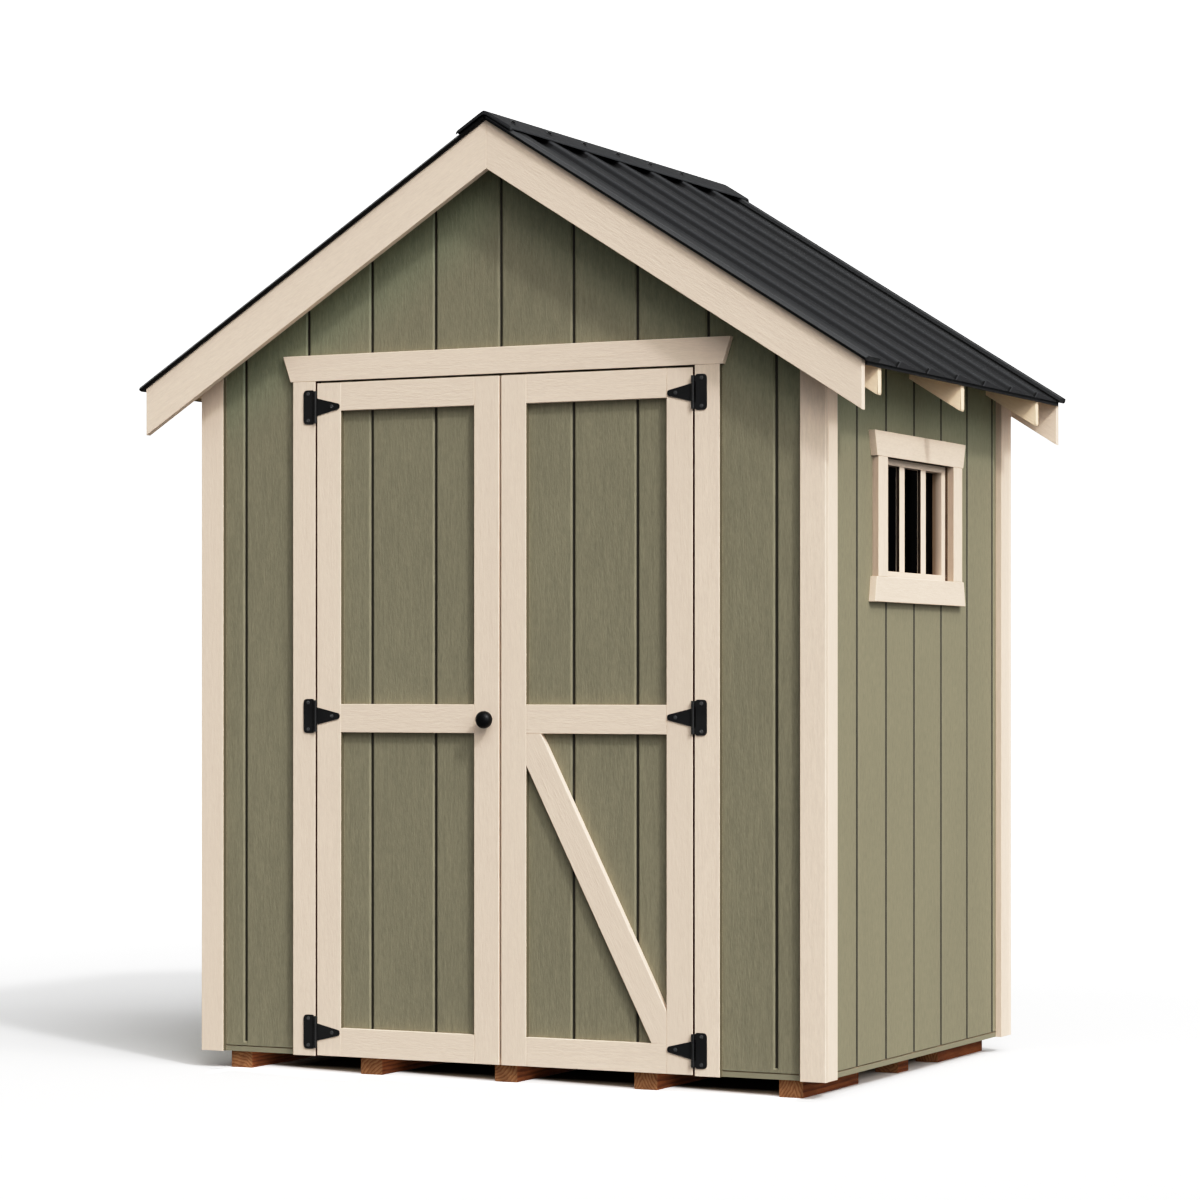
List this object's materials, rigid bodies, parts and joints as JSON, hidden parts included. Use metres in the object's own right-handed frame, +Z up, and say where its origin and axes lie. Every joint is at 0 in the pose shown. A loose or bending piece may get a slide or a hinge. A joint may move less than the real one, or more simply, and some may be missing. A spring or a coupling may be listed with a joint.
{
  "type": "garden shed",
  "caption": "Small gabled wooden garden shed with grooved panel walls, outward-opening double doors, a side window and a ribbed metal roof on runners.",
  "frame": {"origin": "on the ground, under the middle of the roof", "axes": "+X to the right seen from the front, +Y to the back, +Z up; the doors face -Y"},
  "size_m": [2.213, 1.574, 2.6214],
  "materials": {
    "siding": "sage green paint on grooved panels, matt",
    "trim": "cream paint, matt",
    "framing": "bare sawn softwood",
    "runner": "red-brown stain",
    "roofing": "charcoal coating, satin",
    "ironwork": "black, satin",
    "glass": "clear"
  },
  "bodies": {
    "shed": {"runner_blocks": "runner", "floor_deck": "siding", "front_wall_left": "siding", "front_wall_right": "siding", "front_gable": "siding", "rear_wall": "siding", "left_wall": "siding", "right_wall": "siding", "front_frame": "framing", "rear_frame": "framing", "left_frame": "framing", "right_frame": "framing", "rafters": "trim", "ridge_board": "framing", "roof_deck": "framing", "roof_sheet_left": "roofing", "roof_sheet_right": "roofing", "ridge_cap": "roofing", "front_verge": "roofing", "rear_verge": "roofing", "eave_flashings": "roofing", "front_barge_boards": "trim", "rear_barge_boards": "trim", "corner_boards_front": "trim", "corner_boards_rear": "trim", "corner_boards_left": "trim", "corner_boards_right": "trim", "door_casings": "trim", "door_header": "trim", "window_casings": "trim", "window_header": "trim", "window_sill": "trim", "window_sash": "trim", "window_bars": "trim", "window_glass": "glass", "hinge_plates": "ironwork"},
    "left_door": {"left_door_panel": "siding", "left_door_frame": "trim", "left_hinge_straps": "ironwork", "door_knob": "ironwork"},
    "right_door": {"right_door_panel": "siding", "right_door_frame": "trim", "right_door_brace": "trim", "right_hinge_straps": "ironwork"}
  },
  "joints": [
    {"name": "left_door_hinge", "type": "hinge", "parent": "shed", "child": "left_door", "pos_m": [-0.577, -0.6975, 0], "axis": [0, 0, -1], "range_deg": [0, 160]},
    {"name": "right_door_hinge", "type": "hinge", "parent": "shed", "child": "right_door", "pos_m": [0.577, -0.6975, 0], "axis": [0, 0, 1], "range_deg": [0, 160]}
  ]
}
